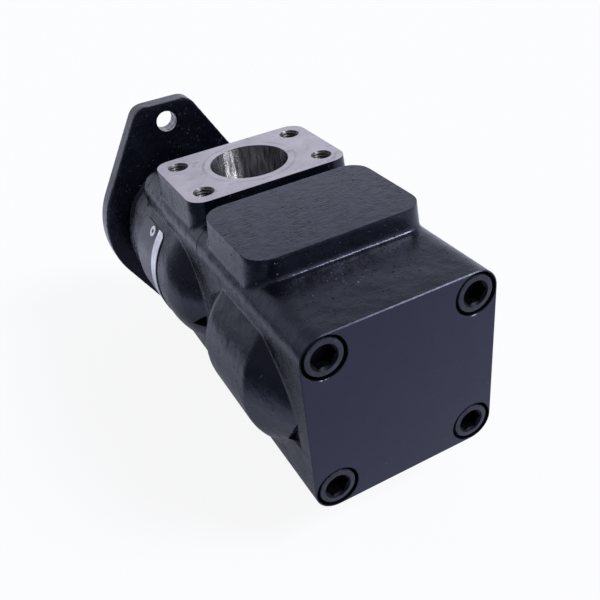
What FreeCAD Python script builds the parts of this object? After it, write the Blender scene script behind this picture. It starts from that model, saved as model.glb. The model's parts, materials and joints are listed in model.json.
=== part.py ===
import FreeCAD, Part
import math
import os

# Tandem internal gear pump, in millimetres.
# Origin: the centre of the mounting face, on the drive shaft's axis.
# +Y runs out along the drive shaft, +Z runs towards the inlet port, and the rear cap faces -Y.
# Two gear sets stand one behind the other. Each has a pinion on the shaft line and a ring gear
# whose centre lies beside it. Four long cap screws hold both housings to the mounting flange.

os.makedirs("parts", exist_ok=True)
V = FreeCAD.Vector
ALONG = V(0, 1, 0)

# Mounting flange, two bolts, 101.6 pilot
PILOT_R = 50.8
PILOT_LEN = 9.5
FLANGE_T = 12.0
FLANGE_R = 59.8
FLANGE_TOP = 86.0
FLANGE_SLOPE = 30.2
FLANGE_CORNER_R = 11.0
FLANGE_HOLE_Z = 73.0
FLANGE_HOLE_R = 7.15

# Places along the shaft, measured from the mounting face
Y_NECK = -27.0
Y_FRONT_JOINT = -53.0
Y_MID_JOINT = -142.0
Y_REAR = -267.0

# Square of the four cap screws and the body that follows it
BOLT_X = 21.0
BOLT_HALF = 42.5
COLUMN_R = 13.0
HALF_BODY = BOLT_HALF + COLUMN_R
JOINT_PLATE_T = 5.0
BOSS_DOME_Y = -48.0

# Round forms about the shaft's axis
RING_R = 48.5
WAIST_R = 40.0
WAIST_FLARE = 4.0
BARREL_SINK = 0.5
BARREL_END_R = HALF_BODY - BOLT_X - BARREL_SINK
BARREL_SOFT_R = 38.0
BARREL_CRISP_R = 5.0
BARREL_FLAT = 1.0
BARREL_BLEND_R = 6.0
Y_BARREL_1_END = -116.5
TAPER_1_LEN = 24.0
Y_BARREL_2_START = -177.0
TAPER_2_FRONT_LEN = 34.0
Y_BARREL_2_END = -226.0
TAPER_2_REAR_LEN = 31.0

# Inlet port, four-bolt pattern for a 2 inch flange, and the unmachined pad of the same size
PORT_Y = -102.3
PORT_TOP = 68.3
PORT_R = 23.8
PORT_LEN = 22.0
PORT_ROW_X = 77.77
PORT_ROW_Y = 42.88
PORT_TAP_R = 5.1
PORT_TAP_LEN = 15.0
PAD_X = 101.8
PAD_Y = 68.6
PAD_CORNER_R = 10.0
PAD_DRAFT = 1.6
PAD_ROOT = 5.5
PAD_BLEND_R = 3.0
THROAT_R = 18.0
THROAT_Z = 30.0
BLANK_Y = -181.0
BLANK_CORNER_R = 13.0
BLANK_EDGE_R = 1.6
CAP_EDGE_R = 0.8

# Outlet port on the underside, four-bolt pattern for a 1 inch flange
OUT_Y = -114.5
OUT_FACE = -61.5
OUT_R = 12.5
OUT_LEN = 22.0
OUT_THROAT_R = 9.0
OUT_THROAT_Z = -29.0
OUT_ROW_X = 52.37
OUT_ROW_Y = 26.19
OUT_TAP_R = 4.25
OUT_TAP_LEN = 14.0
OUT_PAD_X = 78.0
OUT_PAD_Y = 48.0

# Gears
MODULE = 3.5
PINION_TEETH = 10
RING_TEETH = 19
SHIFT = 0.4
BACKLASH = 0.16
PRESSURE_ANGLE = math.radians(20)
PINION_ADDENDUM = 4.3
PINION_DEDENDUM = 3.0
RING_ADDENDUM = 1.45
RING_DEDENDUM = 4.85
RING_WALL = 3.9
PINION_TIP_R = MODULE * PINION_TEETH / 2 + PINION_ADDENDUM
PINION_ROOT_R = MODULE * PINION_TEETH / 2 - PINION_DEDENDUM
RING_TIP_R = MODULE * RING_TEETH / 2 - RING_ADDENDUM
RING_ROOT_R = MODULE * RING_TEETH / 2 + RING_DEDENDUM
RING_OUT_R = RING_ROOT_R + RING_WALL
CHAMBER_WALL = 8.0
BARREL_R = RING_OUT_R + CHAMBER_WALL
GEAR_W = 34.0
OFFSET = MODULE * (RING_TEETH - PINION_TEETH) / 2
Y_GEARS_1 = -61.0
Y_GEARS_2 = -184.0
PLATE_T = 4.0

# Shaft line
JOURNAL_R = 14.0
DRIVE_R = 12.7
DRIVE_END = 46.0
DRIVE_SHOULDER = 8.0
SPLINE_R = 12.5
SPLINE_ROOT_R = 11.0
SPLINE_W = 6.0
SPLINE_LEN = 12.0
SLEEVE_R = 16.8
BUSH_R = 17.0
BUSH_LEN = 26.0
KEYWAY_W = 6.35
KEYWAY_DEPTH = 3.2
KEYWAY_Y0 = 16.0
KEYWAY_LEN = 25.4

# Shaft seal pocket
SEAL_R = 21.0
SEAL_W = 8.0
SEAL_Y = -1.9
SEAL_SHELL_T = 1.4
LIP_BACK_R = 3.2
SPRING_R = 0.55
SPRING_OFF = 2.4
SPRING_BACK = 3.8
CLIP_T = 1.5
CLIP_R = 22.3
CLIP_W = 2.6
CLIP_EAR_R = 2.2
CLIP_EAR_AT = 18.2
CLIP_EAR_HOLE_R = 0.8
CLIP_GAP = 6.4

# Filler between the gears
PIN_R = 6.0
PIN_X = 34.7
PIN_Z = 10.0
PIN_SEAT = 8.0
FILLER_END_X = -2.0
ROLL_R = 1.6

# Passages beside the shaft
GALLERY_IN_R = 23.0
GALLERY_OUT_R = 36.0
GALLERY_FROM = 52.0
GALLERY_TO = 118.0

# Cap screws, M14
SCREW_R = 7.0
SCREW_HOLE_R = 7.5
HEAD_R = 10.5
HEAD_H = 14.0
COUNTERBORE_R = 12.2
COUNTERBORE_DEPTH = 15.3
SCREW_TIP_Y = -41.0
HEX_AF = 12.0
HEX_DEPTH = 8.0

# Small pieces
DOWEL_R = 3.0
DOWEL_X = 45.0
DOWEL_Z = 48.5
DOWEL_LEN = 16.0
DOWEL_UP = JOINT_PLATE_T - 1.0
JOINT_SEAL_LAND = 2.5
JOINT_SEAL_W = 2.0
JOINT_SEAL_T = 1.6
JOINT_SEAL_IN = RING_OUT_R + JOINT_SEAL_LAND
JOINT_SEAL_OUT = JOINT_SEAL_IN + JOINT_SEAL_W
NAMEPLATE_Y0 = -92.5
NAMEPLATE_Y1 = -57.0
NAMEPLATE_T = 0.5
NAMEPLATE_BED = 0.1
NAMEPLATE_HALF_ANGLE = 40.0
NAMEPLATE_CORNER_R = 5.0
RIVET_Y = -77.0
RIVET_ANGLE = 35.5
RIVET_R = 1.3
RIVET_HEAD_R = 3.5
RIVET_HEAD_T = 0.9
RIVET_LEN = 5.0

# Clearances
RUN_R = 0.03
RUN_Y = 0.05
RING_RUN_R = 0.05
TIP_GAP = 0.06
FIT = 0.02


def cyl(r, y0, y1, x=0.0, z=0.0):
    return Part.makeCylinder(r, y1 - y0, V(x, y0, z), ALONG)


def up(r, z0, z1, x, y):
    return Part.makeCylinder(r, z1 - z0, V(x, y, z0), V(0, 0, 1))


def box(x0, x1, y0, y1, z0, z1):
    return Part.makeBox(x1 - x0, y1 - y0, z1 - z0, V(x0, y0, z0))


def join(first, *rest):
    return first.fuse(list(rest)).removeSplitter()


def cut(body, *tools):
    return body.cut(list(tools)).removeSplitter()


def prism(points, y0, y1):
    face = Part.Face(Part.makePolygon([V(x, y0, z) for x, z in points + points[:1]]))
    return face.extrude(V(0, y1 - y0, 0))


def turned(points, x=0.0, z=0.0):
    # a solid of revolution about a line along Y, from (y, r) points
    face = Part.Face(Part.makePolygon([V(x + r, y, z) for y, r in points + points[:1]]))
    return face.revolve(V(x, 0, z), ALONG, 360)


def round_edges(body, radius, chosen):
    return body.makeFillet(radius, [e for e in body.Edges if chosen(e)])


def blended(body, addition, radius):
    # joins a boss or pad to a casting and rounds the inner corner all along where the two meet
    whole = join(body, addition)
    walls = [body.Shells[0], addition.Shells[0]]

    def on_both(e):
        middle = Part.Vertex(e.valueAt((e.FirstParameter + e.LastParameter) / 2))
        return all(middle.distToShape(w)[0] < 0.001 for w in walls)
    return round_edges(whole, radius, on_both)


def bolt_places():
    return [(BOLT_X + i * BOLT_HALF, k * BOLT_HALF) for i in (-1, 1) for k in (-1, 1)]


def row_places(x, y, row_x, row_y):
    return [(x + i * row_x / 2, y + k * row_y / 2) for i in (-1, 1) for k in (-1, 1)]


def rounded_square(y0, y1, soft=0.0):
    # the body's outline square with a column's radius on each corner
    block = box(BOLT_X - HALF_BODY, BOLT_X + HALF_BODY, y0, y1, -HALF_BODY, HALF_BODY)
    block = round_edges(block, COLUMN_R, lambda e: abs(e.tangentAt(e.FirstParameter).y) > 0.9)
    if soft:
        block = round_edges(block, soft, lambda e: e.BoundBox.YLength < 0.01)
    return block


def pad(x, y, size_x, size_y, z0, z1, corner, draft):
    # a port pad: rounded corners, and walls that spread by the draft towards the body
    wires = []
    for z, grow in ((z0, draft), (z1, 0.0)):
        dx, dy = size_x / 2 + grow, size_y / 2 + grow
        block = Part.makeBox(2 * dx, 2 * dy, 1, V(x - dx, y - dy, z))
        block = round_edges(block, corner + grow, lambda e: e.BoundBox.ZLength > 0.5)
        bottom = [f for f in block.Faces if f.BoundBox.ZLength < 0.01 and abs(f.BoundBox.ZMin - z) < 0.01]
        wires.append(bottom[0].OuterWire)
    return Part.makeLoft(wires, True, True)


def barrel(y0, y1, taper_0, taper_1, soft_0, soft_1):
    # the round swelling over a gear set: full from y0 to y1, then narrowing over a taper at each end
    points = [(y0 - taper_0, 0), (y0 - taper_0, BARREL_END_R)] if taper_0 else [(y0, 0)]
    points += [(y0, BARREL_R), (y1, BARREL_R)]
    points += [(y1 + taper_1, BARREL_END_R), (y1 + taper_1, 0)] if taper_1 else [(y1, 0)]
    solid = turned(points)
    for y, soft in ((y0, soft_0), (y1, soft_1)):
        if soft:
            solid = round_edges(solid, soft, lambda e: e.BoundBox.YLength < 0.01
                                and abs(e.BoundBox.YMin - y) < 0.01 and e.BoundBox.XLength > 1.9 * BARREL_R)
    flat = HALF_BODY - BARREL_FLAT
    return solid.common(box(-2 * BARREL_R, 2 * BARREL_R, y0 - taper_0, y1 + taper_1, -flat, flat))


def sector(y0, y1, r_in, r_out, a0, a1):
    # a kidney-shaped prism about the ring gears' axis
    mid = math.radians((a0 + a1) / 2)
    a0, a1 = math.radians(a0), math.radians(a1)

    def at(r, a):
        return V(OFFSET + r * math.cos(a), y0, r * math.sin(a))
    edges = [Part.Arc(at(r_out, a0), at(r_out, mid), at(r_out, a1)).toShape(),
             Part.makeLine(at(r_out, a1), at(r_in, a1)),
             Part.Arc(at(r_in, a1), at(r_in, mid), at(r_in, a0)).toShape(),
             Part.makeLine(at(r_in, a0), at(r_out, a0))]
    return Part.Face(Part.Wire(edges)).extrude(V(0, y1 - y0, 0))


def galleries(y0, y1):
    # suction passage above the shaft and pressure passage below it
    return [sector(y0, y1, GALLERY_IN_R, GALLERY_OUT_R, GALLERY_FROM, GALLERY_TO),
            sector(y0, y1, GALLERY_IN_R, GALLERY_OUT_R, -GALLERY_TO, -GALLERY_FROM)]


def mounting_flange():
    slope = math.radians(FLANGE_SLOPE)
    tx, tz = FLANGE_R * math.cos(slope), FLANGE_R * math.sin(slope)
    top_x = (FLANGE_R - FLANGE_TOP * math.sin(slope)) / math.cos(slope)
    points = [(top_x, -FLANGE_TOP), (tx, -tz), (tx, tz), (top_x, FLANGE_TOP),
              (-top_x, FLANGE_TOP), (-tx, tz), (-tx, -tz), (-top_x, -FLANGE_TOP)]
    plate = prism(points, -FLANGE_T, 0)
    plate = round_edges(plate, FLANGE_CORNER_R, lambda e: e.BoundBox.YLength > 1
                        and abs(e.BoundBox.ZMin) > FLANGE_TOP - 0.1)
    plate = join(plate, cyl(FLANGE_R, -FLANGE_T, 0))
    neck = turned([(-FLANGE_T, 0), (-FLANGE_T, WAIST_R + WAIST_FLARE), (-FLANGE_T - WAIST_FLARE, WAIST_R),
                   (Y_NECK, WAIST_R),
                   (Y_NECK, RING_R - 2), (Y_NECK - 2, RING_R), (Y_FRONT_JOINT + 0.8, RING_R),
                   (Y_FRONT_JOINT, RING_R - 0.8), (Y_FRONT_JOINT, 0)])
    joint = rounded_square(Y_FRONT_JOINT, Y_FRONT_JOINT + JOINT_PLATE_T)
    bosses = []
    for x, z in bolt_places():
        bosses.append(cyl(COLUMN_R, Y_FRONT_JOINT, BOSS_DOME_Y, x, z))
        bosses.append(Part.makeSphere(COLUMN_R, V(x, BOSS_DOME_Y, z), ALONG, 0, 90, 360))
    spigot = cyl(RING_OUT_R, Y_FRONT_JOINT - PLATE_T, Y_FRONT_JOINT, OFFSET)
    pilot = turned([(0, 0), (0, PILOT_R), (PILOT_LEN - 1, PILOT_R), (PILOT_LEN, PILOT_R - 1), (PILOT_LEN, 0)])
    body = join(plate, neck, joint, spigot, pilot, *bosses)
    inner = Y_FRONT_JOINT - PLATE_T
    tools = [cyl(SEAL_R, SEAL_Y - 0.1, PILOT_LEN), cyl(JOURNAL_R + 1, inner, SEAL_Y),
             cyl(CLIP_R + 0.1, SEAL_Y + SEAL_W + 0.05, SEAL_Y + SEAL_W + 0.15 + CLIP_T),
             cyl(BUSH_R, inner, inner + BUSH_LEN + 1),
             cyl(PIN_R + FIT, inner, inner + PIN_SEAT, PIN_X, PIN_Z)]
    tools += [cyl(FLANGE_HOLE_R, -FLANGE_T, 0, 0, k * FLANGE_HOLE_Z) for k in (-1, 1)]
    tools += [cyl(SCREW_R + FIT, Y_FRONT_JOINT, SCREW_TIP_Y + 1, x, z) for x, z in bolt_places()]
    tools += dowel_holes(Y_FRONT_JOINT)
    return cut(body, *tools)


def dowel_holes(y):
    y0, y1 = y + DOWEL_UP - DOWEL_LEN - 1, y + DOWEL_UP + 0.4
    return [cyl(DOWEL_R + FIT, y0, y1, DOWEL_X, k * DOWEL_Z) for k in (-1, 1)]


def seal_groove(y):
    ring = cyl(JOINT_SEAL_OUT + 0.1, y - JOINT_SEAL_T, y, OFFSET)
    return ring.cut(cyl(JOINT_SEAL_IN - 0.1, y - JOINT_SEAL_T, y, OFFSET))


def front_housing():
    y0, y1 = Y_MID_JOINT, Y_FRONT_JOINT
    floor = Y_GEARS_1 - GEAR_W - PLATE_T
    spigot_end = Y_GEARS_2 + PLATE_T
    root = HALF_BODY - PAD_ROOT
    port_pad = pad(BOLT_X, PORT_Y, PAD_X, PAD_Y, root, PORT_TOP, PAD_CORNER_R, PAD_DRAFT)
    out_pad = pad(BOLT_X, OUT_Y, OUT_PAD_X, OUT_PAD_Y, OUT_FACE, -root, PAD_CORNER_R, 0.0)
    swelling = barrel(Y_BARREL_1_END, y1, TAPER_1_LEN, 0, BARREL_SOFT_R, 0)
    body = blended(rounded_square(y0, y1), swelling, BARREL_BLEND_R)
    body = blended(body, port_pad, PAD_BLEND_R)
    body = blended(body, out_pad, PAD_BLEND_R)
    body = join(body, cyl(RING_OUT_R, spigot_end, y0, OFFSET))
    port_floor = PORT_TOP - PORT_LEN
    tools = [cyl(RING_OUT_R + RING_RUN_R, floor, y1, OFFSET), cyl(BUSH_R, spigot_end, floor),
             up(PORT_R, port_floor, PORT_TOP, BOLT_X, PORT_Y),
             up(THROAT_R, THROAT_Z, port_floor, BOLT_X, PORT_Y),
             up(OUT_R, OUT_FACE, OUT_FACE + OUT_LEN, BOLT_X, OUT_Y),
             up(OUT_THROAT_R, OUT_FACE + OUT_LEN, OUT_THROAT_Z, BOLT_X, OUT_Y)]
    tools += galleries(spigot_end, floor)
    tools += [up(PORT_TAP_R, PORT_TOP - PORT_TAP_LEN, PORT_TOP, x, y)
              for x, y in row_places(BOLT_X, PORT_Y, PORT_ROW_X, PORT_ROW_Y)]
    tools += [up(OUT_TAP_R, OUT_FACE, OUT_FACE + OUT_TAP_LEN, x, y)
              for x, y in row_places(BOLT_X, OUT_Y, OUT_ROW_X, OUT_ROW_Y)]
    tools += [cyl(SCREW_HOLE_R, y0, y1, x, z) for x, z in bolt_places()]
    tools += dowel_holes(y0) + dowel_holes(y1) + rivet_holes()
    tools += [seal_groove(y1), cyl(PIN_R + FIT, floor - PIN_SEAT, floor, PIN_X, PIN_Z),
              cyl(PIN_R + FIT, spigot_end, spigot_end + PIN_SEAT, PIN_X, PIN_Z)]
    return cut(body, *tools)


def rear_housing():
    y0, y1 = Y_REAR, Y_MID_JOINT
    floor = Y_GEARS_2 - GEAR_W - PLATE_T
    blank = pad(BOLT_X, BLANK_Y, PAD_X, PAD_Y, HALF_BODY - PAD_ROOT, PORT_TOP, BLANK_CORNER_R, PAD_DRAFT)
    blank = round_edges(blank, BLANK_EDGE_R, lambda e: e.BoundBox.ZMin > PORT_TOP - 0.1)
    block = rounded_square(y0, y1)
    block = round_edges(block, CAP_EDGE_R, lambda e: abs(e.BoundBox.YMax - y0) < 0.01)
    swelling = barrel(Y_BARREL_2_END, Y_BARREL_2_START, TAPER_2_REAR_LEN, TAPER_2_FRONT_LEN,
                      BARREL_CRISP_R, BARREL_CRISP_R)
    body = blended(blended(block, swelling, BARREL_BLEND_R), blank, PAD_BLEND_R)
    tools = [cyl(RING_OUT_R + RING_RUN_R, floor, y1, OFFSET), cyl(BUSH_R, floor - BUSH_LEN - 2, floor),
             seal_groove(y1), cyl(PIN_R + FIT, floor - PIN_SEAT, floor, PIN_X, PIN_Z)]
    for x, z in bolt_places():
        tools += [cyl(SCREW_HOLE_R, y0, y1, x, z), cyl(COUNTERBORE_R, y0, y0 + COUNTERBORE_DEPTH, x, z)]
    return cut(body, *(tools + dowel_holes(y1)))


def involute(a):
    return math.tan(a) - a


def tooth_half_angle(teeth, r, thickness):
    # half a tooth's angle at radius r, for its thickness on the pitch circle
    pitch_r = MODULE * teeth / 2
    base_r = pitch_r * math.cos(PRESSURE_ANGLE)
    at = math.acos(base_r / max(r, base_r))
    return thickness / 2 / pitch_r + involute(PRESSURE_ANGLE) - involute(at)


def toothed_face(teeth, r_in, r_out, thickness, y):
    # an external gear's outline, with its first tooth pointing along -X
    base_r = MODULE * teeth / 2 * math.cos(PRESSURE_ANGLE)
    radii = sorted({r_in, max(r_in, base_r)} | {r_in + (r_out - r_in) * i / 5 for i in range(1, 6)})
    points = []
    for k in range(teeth):
        middle = math.pi + 2 * math.pi * k / teeth
        sides = [(r, middle - tooth_half_angle(teeth, r, thickness)) for r in radii]
        sides += [(r, middle + tooth_half_angle(teeth, r, thickness)) for r in reversed(radii)]
        points += [V(r * math.cos(a), y, r * math.sin(a)) for r, a in sides]
    return Part.Face(Part.makePolygon(points + points[:1]))


TOOTH = MODULE * (math.pi / 2 + 2 * SHIFT * math.tan(PRESSURE_ANGLE))


def pinion_teeth(y_top):
    y0 = y_top - GEAR_W + RUN_Y
    face = toothed_face(PINION_TEETH, PINION_ROOT_R, PINION_TIP_R, TOOTH - BACKLASH / 2, y0)
    return face.extrude(V(0, GEAR_W - 2 * RUN_Y, 0))


def ring_gear(y_top):
    y0 = y_top - GEAR_W + RUN_Y
    spaces = toothed_face(RING_TEETH, RING_TIP_R - RING_WALL, RING_ROOT_R, TOOTH + BACKLASH / 2, y0)
    spaces.translate(V(OFFSET, 0, 0))
    inside = spaces.extrude(V(0, GEAR_W, 0))
    ring = cyl(RING_OUT_R, y0, y0 + GEAR_W - 2 * RUN_Y, OFFSET)
    return cut(ring, inside, cyl(RING_TIP_R, y0, y0 + GEAR_W, OFFSET))


def spline(r_root, r_out, width, y0, y1):
    core = cyl(r_root, y0, y1)
    teeth = []
    for k in range(3):
        bar = box(-r_out - 1, r_out + 1, y0, y1, -width / 2, width / 2)
        bar.rotate(V(0, 0, 0), ALONG, 60 * k)
        teeth.append(bar.common(cyl(r_out, y0, y1)))
    return join(core, *teeth)


def drive_pinion():
    end = Y_GEARS_1 - GEAR_W
    journal_end = end - PLATE_T - BUSH_LEN - 1.5
    shaft = turned([(journal_end, 0), (journal_end, JOURNAL_R), (DRIVE_SHOULDER - 1, JOURNAL_R),
                    (DRIVE_SHOULDER, DRIVE_R), (DRIVE_END - 1.5, DRIVE_R), (DRIVE_END, DRIVE_R - 1.5),
                    (DRIVE_END, 0)])
    tip = spline(SPLINE_ROOT_R, SPLINE_R, SPLINE_W, journal_end - SPLINE_LEN, journal_end)
    keyway = box(-KEYWAY_W / 2, KEYWAY_W / 2, KEYWAY_Y0, KEYWAY_Y0 + KEYWAY_LEN,
                 DRIVE_R - KEYWAY_DEPTH, DRIVE_R + 1)
    return cut(join(shaft, pinion_teeth(Y_GEARS_1), tip), keyway)


def rear_pinion():
    start = Y_GEARS_2 + PLATE_T + BUSH_LEN + 1.5
    end = Y_GEARS_2 - GEAR_W - PLATE_T - BUSH_LEN
    shaft = turned([(end, 0), (end, JOURNAL_R - 1), (end + 1, JOURNAL_R), (start, JOURNAL_R), (start, 0)])
    tip = spline(SPLINE_ROOT_R, SPLINE_R, SPLINE_W, start, start + SPLINE_LEN)
    return join(shaft, pinion_teeth(Y_GEARS_2), tip)


def coupling_sleeve():
    y1 = Y_GEARS_1 - GEAR_W - PLATE_T - BUSH_LEN - 2
    y0 = Y_GEARS_2 + PLATE_T + BUSH_LEN + 2
    bore = spline(SPLINE_ROOT_R + TIP_GAP, SPLINE_R + TIP_GAP, SPLINE_W + 2 * TIP_GAP, y0, y1)
    return cut(cyl(SLEEVE_R, y0, y1), bore)


def bush(y_end):
    return cut(cyl(BUSH_R, y_end, y_end + BUSH_LEN), cyl(JOURNAL_R + RUN_R, y_end, y_end + BUSH_LEN))


def axial_plate(y_top, ported):
    tools = [cyl(JOURNAL_R + 0.3, y_top - PLATE_T, y_top),
             cyl(PIN_R + FIT, y_top - PLATE_T, y_top, PIN_X, PIN_Z)]
    if ported:
        tools += galleries(y_top - PLATE_T, y_top)
    return cut(cyl(RING_OUT_R, y_top - PLATE_T, y_top, OFFSET), *tools)


def filler_pin(y0, y1):
    return cyl(PIN_R, y0 - PIN_SEAT + 0.5, y1 + PIN_SEAT - 0.5, PIN_X, PIN_Z)


def mid_circle():
    # centre and radius of the circle halfway between the two tip circles
    return OFFSET / 2, (PINION_TIP_R + RING_TIP_R) / 2


def roll_places():
    cx, r = mid_circle()
    return [(cx + r * math.cos(math.radians(a)), r * math.sin(math.radians(a))) for a in (-32, -66)]


def filler_pieces(y_top):
    # the crescent below the pin: an inner piece on the pinion's tips and an outer one on the ring's
    y0, y1 = y_top - GEAR_W + RUN_Y, y_top - RUN_Y
    cx, r = mid_circle()
    crescent = cyl(RING_TIP_R - TIP_GAP, y0, y1, OFFSET).cut(cyl(PINION_TIP_R + TIP_GAP, y0, y1))
    below = crescent.common(box(FILLER_END_X, OFFSET + RING_TIP_R, y0, y1, -RING_TIP_R, PIN_Z - PIN_R))
    rolls = [cyl(ROLL_R, y0, y1, x, z) for x, z in roll_places()]
    seats = [cyl(ROLL_R + TIP_GAP, y0, y1, x, z) for x, z in roll_places()]
    inner = cut(below.common(cyl(r - TIP_GAP, y0, y1, cx)), *seats)
    outer = cut(below, cyl(r + TIP_GAP, y0, y1, cx), *seats)
    return inner, outer, Part.makeCompound(rolls)


def shaft_seal():
    y0, y1 = SEAL_Y, SEAL_Y + SEAL_W
    lip = JOURNAL_R + FIT
    shell, inner = SEAL_R - SEAL_SHELL_T, y1 - SEAL_SHELL_T
    back = inner - 2 * SEAL_SHELL_T
    case = [(inner, shell), (y0, shell), (y0, SEAL_R), (y1, SEAL_R), (y1, lip + 2 * SEAL_SHELL_T)]
    edge = [(back + SEAL_SHELL_T, lip), (back, lip + SEAL_SHELL_T / 2), (back, lip + SEAL_SHELL_T)]
    return turned(case + edge + [(inner, lip + LIP_BACK_R)])


def seal_spring():
    return Part.makeTorus(JOURNAL_R + SPRING_OFF, SPRING_R, V(0, SEAL_Y + SEAL_W - SPRING_BACK, 0), ALONG)


def seal_circlip():
    y0 = SEAL_Y + SEAL_W + 0.1
    y1 = y0 + CLIP_T
    ring = cyl(CLIP_R, y0, y1).cut(cyl(CLIP_R - CLIP_W, y0, y1))
    places = [(CLIP_EAR_AT * math.cos(a), CLIP_EAR_AT * math.sin(a)) for a in (-1.92, -1.22)]
    ears = [cyl(CLIP_EAR_R, y0, y1, x, z) for x, z in places]
    holes = [cyl(CLIP_EAR_HOLE_R, y0, y1, x, z) for x, z in places]
    gap = box(-CLIP_GAP / 2, CLIP_GAP / 2, y0, y1, -CLIP_R - 1, CLIP_EAR_R - CLIP_EAR_AT)
    return cut(join(ring, *ears), gap, *holes)


def joint_seal(y):
    y0 = y - JOINT_SEAL_T
    return cyl(JOINT_SEAL_OUT, y0, y, OFFSET).cut(cyl(JOINT_SEAL_IN, y0, y, OFFSET))


def hexagon(y0, y1, x, z):
    corner = HEX_AF / math.sqrt(3)
    return prism([(x + corner * math.cos(math.radians(60 * k)), z + corner * math.sin(math.radians(60 * k)))
                  for k in range(6)], y0, y1)


def cap_screw(x, z):
    seat = Y_REAR + COUNTERBORE_DEPTH
    end = seat - HEAD_H
    screw = turned([(end, 0), (end, HEAD_R - 1), (end + 1, HEAD_R), (seat, HEAD_R), (seat, SCREW_R),
                    (SCREW_TIP_Y - 1, SCREW_R), (SCREW_TIP_Y, SCREW_R - 1), (SCREW_TIP_Y, 0)], x, z)
    return cut(screw, hexagon(end, end + HEX_DEPTH, x, z))


def dowels(y):
    y1 = y + DOWEL_UP
    return [cyl(DOWEL_R, y1 - DOWEL_LEN, y1, DOWEL_X, k * DOWEL_Z) for k in (-1, 1)]


def outward(angle):
    # direction away from the shaft's axis, to the left and raised by the angle
    a = math.radians(angle)
    return V(-math.cos(a), 0, math.sin(a))


def rivet_holes():
    holes = []
    for k in (1, -1):
        out = outward(k * RIVET_ANGLE)
        foot = V(0, RIVET_Y, 0) + out * (BARREL_R - RIVET_LEN)
        holes.append(Part.makeCylinder(RIVET_R, RIVET_LEN + NAMEPLATE_BED + NAMEPLATE_T + 1, foot, out))
    return holes


def rivets():
    # two drive rivets with low heads, one near each end of the plate
    pieces = []
    for k in (1, -1):
        out = outward(k * RIVET_ANGLE)
        foot = V(0, RIVET_Y, 0) + out * (BARREL_R - RIVET_LEN)
        reach = RIVET_LEN + NAMEPLATE_BED + NAMEPLATE_T
        shank = Part.makeCylinder(RIVET_R, reach, foot, out)
        under = foot + out * reach
        pieces.append(join(shank, Part.makeCylinder(RIVET_HEAD_R, RIVET_HEAD_T, under, out)))
    return Part.makeCompound(pieces)


def nameplate():
    r_in = BARREL_R + NAMEPLATE_BED
    shell = cyl(r_in + NAMEPLATE_T, NAMEPLATE_Y0, NAMEPLATE_Y1).cut(cyl(r_in, NAMEPLATE_Y0, NAMEPLATE_Y1))
    half = math.radians(NAMEPLATE_HALF_ANGLE)
    reach = 2 * BARREL_R
    wedge = prism([(0, 0), (-reach * math.cos(half), reach * math.sin(half)),
                   (-reach * math.cos(half), -reach * math.sin(half))], NAMEPLATE_Y0, NAMEPLATE_Y1)
    sheet = round_edges(shell.common(wedge), NAMEPLATE_CORNER_R, lambda e: e.Length < 2 * NAMEPLATE_T)
    return cut(sheet, *rivet_holes())


def save(name, shape):
    shape.exportStep(os.path.join("parts", name + ".step"))
    print(name, "solids", len(shape.Solids), "valid", shape.isValid(), "cm3 %.2f" % (shape.Volume / 1000))


def main():
    y_floor_1 = Y_GEARS_1 - GEAR_W - PLATE_T
    y_floor_2 = Y_GEARS_2 - GEAR_W - PLATE_T
    y_top_1 = Y_GEARS_1 + PLATE_T
    y_top_2 = Y_GEARS_2 + PLATE_T
    save("mounting_flange", mounting_flange())
    save("front_housing", front_housing())
    save("rear_housing", rear_housing())
    save("drive_pinion", drive_pinion())
    save("coupling_sleeve", coupling_sleeve())
    save("rear_pinion", rear_pinion())
    save("front_bush", bush(y_top_1 + 0.5))
    save("middle_front_bush", bush(y_floor_1 - 0.5 - BUSH_LEN))
    save("middle_rear_bush", bush(y_top_2 + 0.5))
    save("rear_bush", bush(y_floor_2 - 0.5 - BUSH_LEN))
    sets = (("front", Y_GEARS_1, y_floor_1, y_top_1), ("rear", Y_GEARS_2, y_floor_2, y_top_2))
    for name, top, y_in, y_out in sets:
        inner, outer, rolls = filler_pieces(top)
        save(name + "_ring_gear", ring_gear(top))
        save(name + "_filler_inner", inner)
        save(name + "_filler_outer", outer)
        save(name + "_filler_rolls", rolls)
        save(name + "_filler_pin", filler_pin(y_in, y_out))
        save(name + "_plate_a", axial_plate(top + PLATE_T, name == "rear"))
        save(name + "_plate_b", axial_plate(top - GEAR_W, name == "front"))
    save("shaft_seal", shaft_seal())
    save("seal_spring", seal_spring())
    save("seal_circlip", seal_circlip())
    save("front_joint_seal", joint_seal(Y_FRONT_JOINT))
    save("middle_joint_seal", joint_seal(Y_MID_JOINT))
    save("dowel_pins", Part.makeCompound(dowels(Y_FRONT_JOINT) + dowels(Y_MID_JOINT)))
    save("cap_screws", Part.makeCompound([cap_screw(x, z) for x, z in bolt_places()]))
    save("nameplate", nameplate())
    save("nameplate_rivets", rivets())


main()
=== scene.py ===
# %% [markdown]
# # A hydraulic pump, dressed around its CAD frame
#
# The frame holds every solid of the pump in its true place: castings, gears, shafts, bearings, seals
# and screws. This lesson gives each visible surface what the bare solids lack: the soft skin of a sand
# casting under semi-gloss paint, crisp machined faces, tapped threads, a bare nameplate, and finishes
# for every inner piece. Numbers are in millimetres and are turned into metres in one place.

import json
import math

import bpy
import numpy as np
from mathutils import Matrix, Vector


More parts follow.
